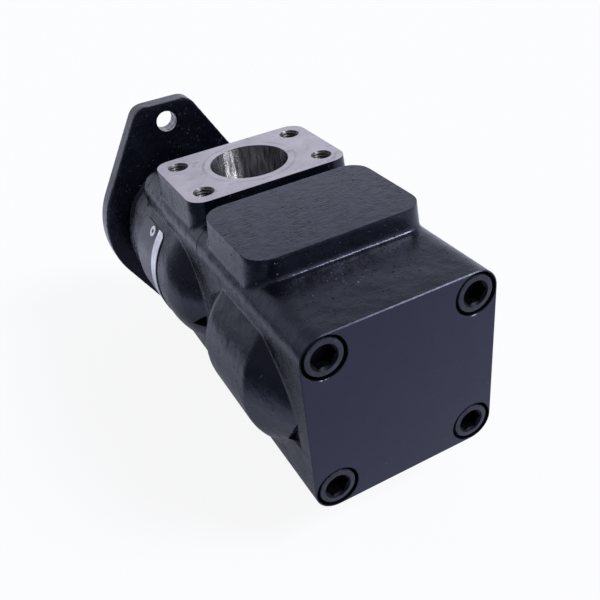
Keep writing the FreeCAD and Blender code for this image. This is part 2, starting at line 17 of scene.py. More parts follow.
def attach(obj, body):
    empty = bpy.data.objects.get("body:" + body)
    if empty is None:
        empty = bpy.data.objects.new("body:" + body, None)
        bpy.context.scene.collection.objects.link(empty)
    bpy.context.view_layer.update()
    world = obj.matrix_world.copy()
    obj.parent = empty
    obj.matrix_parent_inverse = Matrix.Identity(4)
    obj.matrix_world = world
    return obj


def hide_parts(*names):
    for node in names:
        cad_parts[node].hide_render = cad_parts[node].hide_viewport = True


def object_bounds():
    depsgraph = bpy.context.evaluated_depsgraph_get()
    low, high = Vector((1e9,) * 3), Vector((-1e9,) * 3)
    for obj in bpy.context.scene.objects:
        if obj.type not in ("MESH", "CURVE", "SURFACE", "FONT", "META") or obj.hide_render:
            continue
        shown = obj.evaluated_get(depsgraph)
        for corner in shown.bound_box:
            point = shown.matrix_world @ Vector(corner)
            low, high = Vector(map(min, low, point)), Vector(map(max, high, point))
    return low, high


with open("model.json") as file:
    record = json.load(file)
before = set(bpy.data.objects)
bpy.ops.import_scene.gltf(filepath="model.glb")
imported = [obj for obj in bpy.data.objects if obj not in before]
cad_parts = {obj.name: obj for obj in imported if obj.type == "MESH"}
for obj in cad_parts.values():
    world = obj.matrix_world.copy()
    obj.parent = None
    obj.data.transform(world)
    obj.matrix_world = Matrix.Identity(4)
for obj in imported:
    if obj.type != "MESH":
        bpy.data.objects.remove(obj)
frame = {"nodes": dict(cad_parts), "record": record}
cad_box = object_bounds()
bpy.context.scene.view_settings.view_transform = "Standard"
MM = 0.001
print("nodes in the frame:", len(frame["nodes"]))

# %% [markdown]
# ## The camera and the light
#
# The photograph was taken from above, behind and to the left of the rear cap, with the camera rolled
# by seven degrees. A matrix from three measured angles places it. Blender could aim a camera with a
# Track To constraint, but three angles in a row of plain numbers are easier to compare with the photo.

# %% Camera
CAMERA_AT = (-134.03, -500.27, 252.89)
AZIMUTH, ELEVATION, ROLL = (math.radians(a) for a in (-24.03, 34.395, -7.09))
LENS = 44.55


def make_camera():
    """Right, up and backward directions from azimuth, elevation and roll, as the columns of one matrix."""
    level = Vector((math.cos(AZIMUTH), math.sin(AZIMUTH), 0))
    ahead = Vector((-math.sin(AZIMUTH) * math.cos(ELEVATION), math.cos(AZIMUTH) * math.cos(ELEVATION),
                    -math.sin(ELEVATION)))
    upright = level.cross(ahead)
    right = math.cos(ROLL) * level + math.sin(ROLL) * upright
    up = right.cross(ahead)
    data = bpy.data.cameras.new("camera")
    data.lens = LENS
    data.sensor_width = 36.0
    data.clip_start = 0.01
    camera = bpy.data.objects.new("camera", data)
    aim = Matrix((right, up, -ahead)).transposed().to_4x4()
    camera.matrix_world = Matrix.Translation(Vector(CAMERA_AT) * MM) @ aim
    bpy.context.scene.collection.objects.link(camera)
    bpy.context.scene.camera = camera
    return camera


camera = make_camera()
print("camera at", tuple(round(v, 3) for v in camera.location))

# %% [markdown]
# ## Shader maths as plain expressions
#
# A finish is easier to read as a formula than as a web of nodes. A wire stands for one output of a
# node, and sums and products of wires add the Math nodes that do the work. One method makes every
# other node, with its settings first and its inputs after.


# %% Wires
class Wire:
    """A node's output that can be used in sums, products and comparisons."""

    def __init__(self, finish, socket):
        self.finish, self.socket = finish, socket

    def maths(self, operation, *others):
        return self.finish.node("ShaderNodeMath", {"operation": operation}, dict(enumerate((self,) + others)))

    def __add__(self, other):
        return self.maths("ADD", other)

    def __sub__(self, other):
        return self.maths("SUBTRACT", other)

    def __mul__(self, other):
        return self.maths("MULTIPLY", other)

    def __pow__(self, other):
        return self.maths("POWER", other)

    def __gt__(self, other):
        return self.maths("GREATER_THAN", other)

    def __lt__(self, other):
        return self.maths("LESS_THAN", other)

    def __abs__(self):
        return self.maths("ABSOLUTE")


class Finish:
    """One material: a Principled shader. Its varying inputs are wires and the others are plain values."""

    def __init__(self, name, **constants):
        self.material = bpy.data.materials.new(name)
        self.material.use_nodes = True
        self.tree = self.material.node_tree
        self.shader = self.tree.nodes["Principled BSDF"]
        for key, value in constants.items():
            self.shader.inputs[key.replace("_", " ").title().replace("Ior", "IOR")].default_value = value

    def node(self, kind, settings=None, inputs=None, output=0):
        made = self.tree.nodes.new(kind)
        for key, value in (settings or {}).items():
            if key == "stops":
                ramp = made.color_ramp
                while len(ramp.elements) < len(value):
                    ramp.elements.new(0.5)
                for element, (place, colour) in zip(ramp.elements, value):
                    element.position, element.color = place, colour
            else:
                setattr(made, key, value)
        for key, value in (inputs or {}).items():
            if isinstance(value, Wire):
                self.tree.links.new(value.socket, made.inputs[key])
            else:
                made.inputs[key].default_value = value
        return Wire(self, made.outputs[output])

    def place(self, offset=(0, 0, 0), turn=(0, 0, 0), scale=(1, 1, 1)):
        """Object coordinates, moved, turned and stretched."""
        at = self.node("ShaderNodeTexCoord", output="Object")
        return self.node("ShaderNodeMapping", {},
                         {"Vector": at, "Location": offset, "Rotation": turn, "Scale": scale})

    def axes(self, at):
        """The x, y and z of a point, as three wires in metres."""
        parts = self.node("ShaderNodeSeparateXYZ", {}, {0: at}).socket.node
        return [Wire(self, out) for out in parts.outputs]

    def length(self, at):
        return self.node("ShaderNodeVectorMath", {"operation": "LENGTH"}, {0: at}, "Value")

    def sine(self, value):
        return self.node("ShaderNodeMath", {"operation": "SINE"}, {0: value})

    def noise(self, at, size, detail=2.0, roughness=0.5):
        """Cloudy noise between about 0.3 and 0.7, whose lumps are size millimetres wide."""
        return self.node("ShaderNodeTexNoise", {"noise_dimensions": "3D"},
                         {"Vector": at, "Scale": 1 / (size * MM), "Detail": detail, "Roughness": roughness})

    def ramp(self, value, *stops):
        """Grey levels between stops, as (input, output) pairs."""
        return self.node("ShaderNodeValToRGB", {"stops": [(p, (g, g, g, 1)) for p, g in stops]}, {"Fac": value})

    def mix(self, factor, a, b):
        """A colour between a and b."""
        mixed = self.tree.nodes.new("ShaderNodeMix")
        mixed.data_type = "RGBA"
        for socket, value in ((mixed.inputs[0], factor), (mixed.inputs[6], a), (mixed.inputs[7], b)):
            if isinstance(value, Wire):
                self.tree.links.new(value.socket, socket)
            else:
                socket.default_value = value if isinstance(value, float) else (*value, 1)
        return Wire(self, mixed.outputs[2])

    def between(self, noise, dark, light, low=0.3, high=0.7):
        """A colour that goes from dark to light as a noise climbs from low to high."""
        return self.mix(self.ramp(noise, (low, 0.0), (high, 1.0)), dark, light)

    def relief(self, height, depth, normal=None):
        """A normal tilted by a height of depth millimetres."""
        inputs = {"Height": height, "Distance": depth * MM, "Strength": 1.0}
        if normal:
            inputs["Normal"] = normal
        return self.node("ShaderNodeBump", {}, inputs)

    def set(self, **wires):
        for key, wire in wires.items():
            self.tree.links.new(wire.socket, self.shader.inputs[key.replace("_", " ").title()])
        return self.material


print("wires ready")

# %% [markdown]
# ## Sizes the castings share
#
# The same numbers as in the frame, so that every skin lies on the solid that it replaces: the joints'
# places along the shaft, the square of the four cap screws, the ports and the round swellings.

# %% Sizes
NECK_Y, FRONT_JOINT, MID_JOINT, REAR = -27.0, -53.0, -142.0, -267.0
SIDE = 21.0
HALF = 55.5
SCREW_SQUARE = 42.5
COLUMN = 13.0
OFFSET = 15.75
CHAMBER, RING_RUN = 42.0, 0.05
BARREL, BARREL_END = 50.0, 34.0
PORT_Y, PORT_TOP, BLANK_Y = -102.3, 68.3, -181.0
PAD_U, PAD_V = 50.9, 34.3
OUT_Y, OUT_FACE = -114.5, -61.5
INLET_R, OUTLET_R = 23.8, 12.5
INLET_ROWS, OUTLET_ROWS = (38.885, 21.44), (26.185, 13.095)
GEARS_1, GEARS_2, GEAR_W, PLATE = -61.0, -184.0, 34.0, 4.0
BUSH_R, SCREW_HOLE_R, COUNTERBORE_R, SCREW_SEAT = 17.0, 7.5, 12.2, REAR + 15.3
PIN_X, PIN_Z, PIN_HOLE_R = 34.7, 10.0, 6.02
DOWEL_X, DOWEL_Z, DOWEL_HOLE_R = 45.0, 48.5, 3.02
RIVET_Y, RIVET_ANGLE = -77.0, 35.5
SEAM = 0.3
SCREWS = [(SIDE + i * SCREW_SQUARE, k * SCREW_SQUARE) for i in (-1, 1) for k in (-1, 1)]
print("cap screws at", SCREWS)

# %% [markdown]
# ## Finishes
#
# Paint over cast iron is a dark mirror with the casting's grain under it: fine grain, a slow waviness,
# and a few specks. Machined iron is bright and slightly lilac beside it, with the cutter's marks.


# %% Paint
PAINT_TINT = (0.68, 0.71, 1.0, 1.0)


def cast_paint():
    """Black over raw casting, with a slightly blue gloss. Three sizes of noise lie under it: sand grain,
    lumps of a few millimetres, and slow waves. Small pits break the film, and dust clings in patches."""
    f = Finish("housing_paint", roughness=0.3, specular_tint=PAINT_TINT)
    at = f.place()
    grain = f.noise(at, 1.4, 2.0, 0.6)
    lumps = f.noise(at, 4.0, 2.0, 0.5)
    waves = f.noise(at, 18.0, 2.0)
    pits = f.ramp(f.noise(at, 2.2, 1.0), (0.24, 1.0), (0.30, 0.0))
    dusty = f.ramp(f.noise(at, 25.0, 1.0), (0.60, 0.0), (0.68, 1.0))
    specks = (f.noise(at, 1.0, 0.0) > 0.83) * dusty
    tone = f.between(waves, (0.0018, 0.0022, 0.0048), (0.0040, 0.0047, 0.0090), 0.35, 0.65)
    colour = f.mix(specks * 0.7, tone, (0.35, 0.35, 0.38))
    rough = f.ramp(lumps, (0.3, 0.19), (0.7, 0.30)) + pits * 0.3
    bump = f.relief(waves, 0.8, f.relief(lumps, 0.10, f.relief(grain, 0.10, f.relief(pits, -0.15))))
    return f.set(Base_Color=colour, Roughness=rough, Normal=bump)


def pad_paint():
    """The blank pad was dressed with a file before painting: short dark strokes across it show through the
    paint, most of them in a few patches."""
    f = Finish("filed_paint", roughness=0.4, specular_tint=PAINT_TINT)
    at = f.place()
    strokes = f.noise(f.place(turn=(0, 0, 0.06), scale=(0.16, 1, 1)), 1.1, 2.0, 0.6)
    patches = f.ramp(f.noise(f.place(scale=(1, 0.4, 1)), 16.0, 1.0), (0.44, 0.05), (0.58, 1.0))
    marks = f.ramp(strokes, (0.34, 1.0), (0.42, 0.0)) * patches
    mottle = f.noise(at, 5.0, 4.0, 0.65)
    tone = f.between(mottle, (0.0040, 0.0045, 0.0100), (0.0210, 0.0220, 0.0380), 0.35, 0.65)
    colour = f.mix(marks * 0.95, tone, (0.0, 0.0, 0.001))
    filed = f.relief(strokes, 0.10, f.relief(f.noise(at, 1.4, 2.0), 0.05))
    bump = f.relief(mottle, 0.30, f.relief(marks, -0.30, filed))
    return f.set(Base_Color=colour, Roughness=f.ramp(marks, (0.0, 0.28), (1.0, 0.6)), Normal=bump)


def face_paint():
    """The rear face was milled before painting, so its paint is smooth, with only a slow mottle."""
    f = Finish("smooth_paint", roughness=0.34, specular_tint=PAINT_TINT)
    at = f.place()
    mottle = f.noise(at, 12.0, 3.0)
    tone = f.between(mottle, (0.0040, 0.0046, 0.0135), (0.0052, 0.0060, 0.0165), 0.35, 0.65)
    specks = (f.noise(at, 1.0, 0.0) > 0.80) * f.ramp(f.noise(at, 30.0, 1.0), (0.55, 0.0), (0.65, 1.0))
    bump = f.relief(mottle, 0.10, f.relief(f.noise(at, 0.6, 2.0), 0.01))
    return f.set(Base_Color=f.mix(specks * 0.5, tone, (0.2, 0.2, 0.22)), Normal=bump,
                 Roughness=f.ramp(f.noise(at, 3.0, 2.0), (0.3, 0.30), (0.7, 0.40)))


def milled_iron():
    """Bright iron. The face mill leaves wide shallow arcs, whose distance from a far centre sets the light. A
    faint ring lies about the inlet, where a flange has sat, and a few stains."""
    f = Finish("port_face_iron", metallic=1.0, roughness=0.35)
    at = f.place()
    arc = f.length(f.place((-SIDE * MM, -(PORT_Y - 160) * MM, 0)))
    x, y = f.axes(f.place((-SIDE * MM, -PORT_Y * MM, 0)))[:2]
    out = (x * x + y * y) ** 0.5
    worn = f.ramp(abs(out - 28.6 * MM) * (1 / (2.0 * MM)), (0.2, 1.0), (0.6, 0.0))
    ring = worn * f.ramp(f.noise(at, 14.0), (0.4, 0.2), (0.6, 1.0))
    blotch = f.noise(at, 13.0, 4.0, 0.6)
    stains = f.ramp(f.noise(at, 6.0, 3.0, 0.6), (0.30, 1.0), (0.40, 0.0))
    colour = f.between(blotch, (0.53, 0.485, 0.53), (0.66, 0.61, 0.65))
    colour = f.mix(ring * 0.45 + stains * 0.35, colour, (0.20, 0.19, 0.24))
    return f.set(Base_Color=colour, Roughness=f.ramp(f.noise(at, 2.0, 3.0), (0.3, 0.28), (0.7, 0.42)),
                 Normal=f.relief(f.sine(arc * (2 * math.pi / (0.9 * MM))), 0.004))


def bored_iron():
    """Iron on the walls of bores, darker than the milled face: partly painted shade for the dim inside of a
    bore.
    The boring bar leaves rings half a millimetre apart: a sine of the height, so steep that the wall spreads
    light up and down into a band."""
    f = Finish("bored_iron", metallic=1.0, roughness=0.34)
    at = f.place()
    rings = f.sine(f.axes(at)[2] * (2 * math.pi / (0.55 * MM)))
    streaks = f.noise(f.place(scale=(1, 1, 0.15)), 2.5, 3.0, 0.6)
    # The streaks of tone are the boring bar's marks. The low range as a whole is painted shade for the bores'
    # insides.
    colour = f.between(streaks, (0.05, 0.05, 0.055), (0.30, 0.295, 0.315), 0.35, 0.65)
    return f.set(Base_Color=colour, Roughness=f.ramp(f.noise(at, 5.0, 2.0), (0.3, 0.16), (0.7, 0.24)),
                 Normal=f.relief(rings, 0.072, f.relief(streaks, 0.03)))


def tapped_iron():
    """The threads are dark: painted shade inside the tapped holes."""
    f = Finish("tapped_iron", metallic=1.0, roughness=0.45)
    at = f.place()
    # Darker than the bores: painted shade in the tapped holes.
    colour = f.between(f.noise(at, 1.5, 2.0), (0.05, 0.05, 0.055), (0.16, 0.16, 0.17), 0.35, 0.65)
    return f.set(Base_Color=colour, Roughness=f.ramp(f.noise(at, 2.0), (0.3, 0.38), (0.7, 0.55)))


housing_paint, smooth_paint, filed_paint = cast_paint(), face_paint(), pad_paint()
port_iron, bore_iron, thread_iron = milled_iron(), bored_iron(), tapped_iron()
print("finishes:", len(bpy.data.materials))

# %% [markdown]
# ## Solids from outlines
#
# Every form of the castings is a stack of closed outlines: circles about the shaft's line, rounded
# squares along it, and rounded rectangles for the port pads. The outline is worked out as whole arrays
# of points, carried to its level, and joined to the next by quads. The two ends are closed.


# %% Outlines and stacks
def in_finish(tool, finish):
    """A tool leaves its own finish on the faces it cuts: bare iron unless it is given another here."""
    tool.data.materials.append(finish)
    return tool


def circle(radius, steps=96):
    """Points at equal angles: (r cos t, r sin t)."""
    t = np.linspace(0, 2 * np.pi, steps, endpoint=False)
    return np.stack([radius * np.cos(t), radius * np.sin(t)], 1)


def rounded_rectangle(half_u, half_v, corner, steps=12):
    """Four quarter circles, each about a corner's centre at (half - corner)."""
    t = np.linspace(0, np.pi / 2, steps)
    parts = []
    for k, (su, sv) in enumerate(((1, 1), (-1, 1), (-1, -1), (1, -1))):
        a = t + k * np.pi / 2
        parts.append(np.stack([su * (half_u - corner) + corner * np.cos(a),
                               sv * (half_v - corner) + corner * np.sin(a)], 1))
    return np.concatenate(parts)


def along_y(outline, y, x=0.0, z=0.0):
    """An outline (u, v) set upright at one place along the shaft: (x + u, y, z + v)."""
    return np.stack([x + outline[:, 0], np.full(len(outline), y), z + outline[:, 1]], 1)


def along_z(outline, z, x=0.0, y=0.0):
    """An outline (u, v) laid flat at one height: (x + u, y + v, z)."""
    return np.stack([x + outline[:, 0], y + outline[:, 1], np.full(len(outline), z)], 1)


def quads_between(n, these, those):
    """Quads of four point numbers from each of these outlines of n points to the one beside it in those."""
    i, j = np.meshgrid(these, np.arange(n), indexing="ij")
    after, k = np.meshgrid(those, (np.arange(n) + 1) % n, indexing="ij")
    return np.stack([i * n + j, i * n + k, after * n + k, after * n + j], -1).reshape(-1, 4)


def stack(name, rings):
    """A closed solid over a list of outlines with the same number of points."""
    rings = np.asarray(rings, float)
    levels, around = rings.shape[:2]
    quads = quads_between(around, np.arange(levels - 1), np.arange(1, levels))
    centre = rings.mean(axis=(0, 1))
    middle = rings.reshape(-1, 3)[quads].mean(1)
    corners = rings.reshape(-1, 3)[quads]
    facing = np.cross(corners[:, 2] - corners[:, 0], corners[:, 3] - corners[:, 1])
    inside_out = (facing * (middle - centre)).sum() < 0
    first = list(range(around))
    last = list(range((levels - 1) * around, levels * around))
    faces = quads.tolist() + [first[::-1], last]
    if inside_out:
        faces = [f[::-1] for f in faces]
    mesh = bpy.data.meshes.new(name)
    mesh.from_pydata((rings.reshape(-1, 3) * MM).tolist(), [], faces)
    mesh.validate()
    thing = bpy.data.objects.new(name, mesh)
    bpy.context.scene.collection.objects.link(thing)
    return thing


def turned(name, profile, x=0.0, z=0.0, steps=96):
    """A solid of revolution about a line along Y: a circle of radius r at each (y, r) of the profile."""
    return stack(name, [along_y(circle(r, steps), y, x, z) for y, r in profile])


def rod(r, y0, y1, x=0.0, z=0.0, steps=96):
    return turned("tool", [(y0, r), (y1, r)], x, z, steps)


def pocket(corners, x_out, x_in):
    """A hollow in the left side: its corners (y, z) at the side, drawn in to six tenths at its floor."""
    corners = np.array(corners, float)
    middle = corners.mean(0)
    levels = [(x_out, 1.0), ((x_out + x_in) / 2, 0.95), (x_in, 0.6)]
    rings = [np.stack([np.full(len(corners), x), *(middle + (corners - middle) * k).T], 1) for x, k in levels]
    return in_finish(stack("tool", rings), housing_paint)


def upright(r, z0, z1, x, y, steps=72):
    return stack("tool", [along_z(circle(r, steps), z, x, y) for z in (z0, z1)])


def slab(y0, y1, z0=-150, z1=150):
    """A plain block, wider than the pump, for planing a face off."""
    square = np.array([(-150, y0), (150, y0), (150, y1), (-150, y1)], float)
    return stack("tool", [along_z(square, z) for z in (z0, z1)])


print("outline of a rounded square has", len(rounded_rectangle(HALF, HALF, COLUMN)), "points")

# %% [markdown]
# ## Casting and machining
#
# A sand casting has no sharp edge anywhere: every corner is rounded, inside and outside. A voxel remesh
# of all the overlapping forms welds them into one skin, and a few rounds of smoothing soften it as the
# sand does. Only then comes the machining, as in the workshop: planes, bores and threads are cut with
# boolean tools, so that their edges stay crisp against the soft skin.


# %% Cast and machine
def cast(name, forms, rounds):
    """One soft skin over several overlapping solids, from cells of a millimetre."""
    mesh = bpy.data.meshes.new(name)
    whole = bpy.data.objects.new(name, mesh)
    bpy.context.scene.collection.objects.link(whole)
    vertices, faces, start = [], [], 0
    for form in forms:
        co = np.empty(len(form.data.vertices) * 3)
        form.data.vertices.foreach_get("co", co)
        vertices.append(co.reshape(-1, 3))
        faces += [[start + v for v in p.vertices] for p in form.data.polygons]
        start += len(form.data.vertices)
        bpy.data.objects.remove(form)
    mesh.from_pydata(np.concatenate(vertices).tolist(), [], faces)
    weld = whole.modifiers.new("weld", "REMESH")
    weld.mode = "VOXEL"
    weld.voxel_size = 1.0 * MM
    soften = whole.modifiers.new("soften", "SMOOTH")
    soften.factor = 0.5
    soften.iterations = rounds
    return whole


def machine(whole, cuts, additions=(), within=()):
    """Cuts each tool away, welds each addition on, keeps only what lies within the last ones, and leaves a
    plain mesh."""
    tools = [(tool, operation) for group, operation in
             ((cuts, "DIFFERENCE"), (additions, "UNION"), (within, "INTERSECT")) for tool in group]
    if not whole.data.materials:
        whole.data.materials.append(housing_paint)
    for tool, operation in tools:
        if not tool.data.materials:
            tool.data.materials.append(bore_iron)
        step = whole.modifiers.new("cut", "BOOLEAN")
        step.material_mode = "TRANSFER"
        step.operation = operation
        step.solver = "MANIFOLD"
        step.object = tool
    depsgraph = bpy.context.evaluated_depsgraph_get()
    result = bpy.data.meshes.new_from_object(whole.evaluated_get(depsgraph))
    whole.modifiers.clear()
    whole.data = result
    for tool, _ in tools:
        bpy.data.objects.remove(tool)
    return whole


def shade(piece, degrees=38):
    """Smooth shading, broken at edges sharper than the angle."""
    piece.data.shade_smooth()
    piece.data.set_sharp_from_angle(angle=math.radians(degrees))


print("casting helpers ready")

# %% [markdown]
# ## Drilled, tapped and milled tools
#
# A tapped hole is cut by a tool with the thread on it: its radius is a saw wave that climbs one pitch
# each turn. A passage beside the shaft is a kidney-shaped prism, and a groove is a plain ring.


# %% Tools
def tap(tip_r, pitch, z0, z1, x, y, steps=36, per_pitch=8):
    """Radius = tip_r + depth times a triangle wave of (height / pitch - angle / turn). The mouth is
    chamfered."""
    rows = int(abs(z1 - z0) / pitch * per_pitch) + 1
    z = np.linspace(z0, z1, rows)[:, None]
    t = np.linspace(0, 2 * np.pi, steps, endpoint=False)[None, :]
    wave = (z / pitch - t / (2 * np.pi)) % 1.0
    depth = 0.54 * pitch
    r = tip_r + depth * (1 - np.abs(2 * wave - 1))
    mouth = tip_r + 1.35 * depth - np.abs(z - z1)
    r = np.maximum(r, mouth) + 0 * t
    rings = np.stack([x + r * np.cos(t), y + r * np.sin(t), z + 0 * t], -1)
    lid = rings[-1:] + (0, 0, 1.0 if z1 > z0 else -1.0)
    return stack("tool", np.concatenate([rings, lid]))


def kidney(r_in, r_out, a0, a1, y0, y1, steps=24):
    """A sector of a ring about the gears' line, out along one arc and back along the other."""
    a = np.radians(np.linspace(a0, a1, steps))
    out = np.stack([r_out * np.cos(a), r_out * np.sin(a)], 1)
    back = np.stack([r_in * np.cos(a[::-1]), r_in * np.sin(a[::-1])], 1)
    outline = np.concatenate([out, back])
    return stack("tool", [along_y(outline, y, OFFSET) for y in (y0, y1)])


def groove(r_in, r_out, y0, y1, x, steps=96):
    """A ring of square section: its profile runs round the section and its outlines close on themselves."""
    t = np.linspace(0, 2 * np.pi, steps, endpoint=False)
    section = np.array([(r_in, y0), (r_out, y0), (r_out, y1), (r_in, y1)])
    rings = np.stack([x + section[:, 0][None, :] * np.cos(t)[:, None], section[:, 1][None, :] + 0 * t[:, None],
                      section[:, 0][None, :] * np.sin(t)[:, None]], -1)
    quads = quads_between(4, np.arange(steps), (np.arange(steps) + 1) % steps)
    corners = rings.reshape(-1, 3)[quads]
    facing = np.cross(corners[:, 2] - corners[:, 0], corners[:, 3] - corners[:, 1])
    middle = corners.mean(1)
    radial = middle - np.array([x, (y0 + y1) / 2, 0])
    ring_mid = radial * (1, 0, 1)
    ring_mid = ring_mid / np.linalg.norm(ring_mid, axis=1)[:, None] * (r_in + r_out) / 2
    if (facing * (radial - ring_mid)).sum() < 0:
        quads = quads[:, ::-1]
    mesh = bpy.data.meshes.new("tool")
    mesh.from_pydata((rings.reshape(-1, 3) * MM).tolist(), [], quads.tolist())
    thing = bpy.data.objects.new("tool", mesh)
    bpy.context.scene.collection.objects.link(thing)
    return thing


def passages(y0, y1):
    """One kidney above the shaft and one below it."""
    return [kidney(23.0, 36.0, a0, a1, y0, y1) for a0, a1 in ((52.0, 118.0), (-118.0, -52.0))]


def dowel_holes(y):
    return [rod(DOWEL_HOLE_R, y - 13.0, y + 4.4, DOWEL_X, k * DOWEL_Z, 32) for k in (-1, 1)]


def pin_hole(y0, y1):
    return rod(PIN_HOLE_R, y0, y1, PIN_X, PIN_Z, 48)


def seal_groove(joint):
    return groove(44.4, 46.6, joint - 1.6, joint + 2, OFFSET)


def four_holes(y, rows):
    """The places of four bolt holes about a port's middle, half a row out each way."""
    return [(SIDE + i * rows[0], y + k * rows[1]) for i in (-1, 1) for k in (-1, 1)]


def planed_end(y0, y1, chamfer):
    """All that a mill leaves of the body's end: a rounded square that grows by the chamfer, then on past
    the skin."""
    levels = [(y0, -chamfer), (y0 + chamfer, 0.0), (y0 + chamfer + 20, 20.0), (y1, 20.0)]
    return stack("tool", [along_y(rounded_rectangle(HALF + g, HALF + g, COLUMN + g), y, SIDE)
                          for y, g in levels])


print("tools ready")

# %% [markdown]
# ## The mounting flange
#
# The real flange is one casting: an oval plate with two ears, a round neck, and a square joint plate
# with four domed bosses that the cap screws screw into. The plate could be a plain extrusion with a
# bevel, but the joined skin gives the small fillets where neck, plate and bosses meet.


# %% Flange outline
def oval(radius=59.8, top=86.0, slope_degrees=30.2, corner=11.0):
    """A point for each direction a: centre(a) + r(a) (cos a, sin a). The centre is the middle on the two
    sides and a corner's centre near the top and the bottom."""
    s = math.radians(slope_degrees)
    cz = top - corner
    cx = (radius - corner - cz * math.sin(s)) / math.cos(s)
    ends = (-s, s, np.pi / 2, np.pi - s, np.pi + s, 1.5 * np.pi, 2 * np.pi - s)
    counts = (24, 12, 12, 24, 12, 12)
    a = np.concatenate([np.linspace(a0, a1, n) for a0, a1, n in zip(ends, ends[1:], counts)])
    part = np.repeat(np.arange(6), counts)
    u = np.array([0, cx, -cx, 0, -cx, cx])[part]
    v = np.array([0, cz, cz, 0, -cz, -cz])[part]
    r = np.array([radius, corner, corner, radius, corner, corner])[part]
    points = np.stack([u + r * np.cos(a), v + r * np.sin(a)], 1)
    apart = np.linalg.norm(points - np.roll(points, 1, axis=0), axis=1) > 0.001
    return points[apart]


def dome(x, z, radius, y_base, y_dome, steps=48):
    """A round boss that ends in a half ball: circles of radius r cos a at height r sin a."""
    a = np.radians(np.linspace(0, 86, 14))
    profile = [(y_base, radius)] + list(zip(y_dome + radius * np.sin(a), radius * np.cos(a)))
    return turned("form", profile, x, z, steps)


def make_flange():
    """Plate, neck, joint plate and bosses cast in one, then faced, bored and drilled."""
    square = rounded_rectangle(HALF, HALF, COLUMN)
    forms = [stack("form", [along_y(oval(), y) for y in (-12.0, 3.0)]),
             turned("form", [(-14.0, 44.5), (-16.0, 42.0), (-18.0, 40.6), (-21.0, 40.0), (NECK_Y, 40.0)]),
             turned("form", [(NECK_Y, 46.5), (NECK_Y - 2, 48.5), (FRONT_JOINT - 4, 48.5)][::-1]),
             turned("form", [(-12.0, 40.0), (NECK_Y - 4, 40.0)]),
             stack("form", [along_y(square, y, SIDE) for y in (FRONT_JOINT - 4, FRONT_JOINT + 5.0)])]
    forms += [dome(x, z, COLUMN, FRONT_JOINT - 4, -48.0) for x, z in SCREWS]
    whole = cast("flange_casting", forms, 3)
    inner = FRONT_JOINT - PLATE
    cuts = [in_finish(slab(0, 20), port_iron), slab(FRONT_JOINT - 20, FRONT_JOINT + SEAM)]
    additions = [rod(CHAMBER, inner, FRONT_JOINT + 3, OFFSET),
                 in_finish(turned("tool", [(-3, 50.8), (8.5, 50.8), (9.5, 49.8)]), port_iron)]
    machine(whole, cuts, additions)
    holes = [rod(21.0, -2.0, 12), rod(15.0, inner - 1, 1), rod(22.4, 6.15, 7.75),
             rod(BUSH_R, inner - 1, inner + 27), pin_hole(inner - 1, inner + 8)]
    holes += [turned("tool", [(-14, 7.15), (-0.8, 7.15), (1.0, 8.95)], 0, k * 73.0, 48) for k in (-1, 1)]
    holes += [rod(7.02, FRONT_JOINT - 2, -40.0, x, z, 48) for x, z in SCREWS]
    return machine(whole, holes + dowel_holes(FRONT_JOINT))


flange = make_flange()
shade(flange)
print("flange casting:", len(flange.data.polygons), "faces")

# %% [markdown]
# ## The two housings
#
# Both housings are castings of one family: a square block with rounded corners, a round swelling over
# the gears, and a pad on top. On the front one the pad is milled flat, bored and tapped for the inlet.
# On the rear one the same pad stays as it was cast. A swelling is a turned form whose shoulders are
# arcs, so its profile is worked out as an arc between two straight lines.


# %% Swellings and pads
def shoulder(before, corner, after, radius, steps=14):
    """An arc of the radius that touches both lines through the corner, as (y, r) points."""
    before, corner, after = (np.array(p, float) for p in (before, corner, after))
    a, b = before - corner, after - corner
    a, b = a / np.linalg.norm(a), b / np.linalg.norm(b)
    half = math.acos(np.clip(a @ b, -1, 1)) / 2
    reach = radius / math.tan(half)
    centre = corner + (a + b) / np.linalg.norm(a + b) * radius / math.sin(half)
    start, end = corner + a * reach - centre, corner + b * reach - centre
    t = np.linspace(0, 1, steps)[:, None]
    sweep = math.pi - 2 * half
    points = (np.sin((1 - t) * sweep) * start + np.sin(t * sweep) * end) / math.sin(sweep)
    return [tuple(p) for p in centre + points]


def swelling(y0, y1, taper_0, taper_1, soft_0, soft_1):
    """Full radius from y0 to y1, then a straight taper to the end radius. An end without a taper is flat."""
    profile, full, end = [], BARREL, BARREL_END
    if taper_0:
        profile += [(y0 - taper_0 - 4, end - 4), (y0 - taper_0, end)]
        profile += shoulder((y0 - taper_0, end), (y0, full), (y1, full), soft_0)
    else:
        profile += [(y0, full)]
    if taper_1:
        profile += shoulder((y0, full), (y1, full), (y1 + taper_1, end), soft_1)
        profile += [(y1 + taper_1, end), (y1 + taper_1 + 4, end - 4)]
    else:
        profile += [(y1, full)]
    return turned("form", profile, steps=144)


def pad(x, y, half_u, half_v, corner, levels):
    """A rounded rectangle at each (z, growth) level."""
    return stack("form", [along_z(rounded_rectangle(half_u + g, half_v + g, corner + g), z, x, y)
                          for z, g in levels])


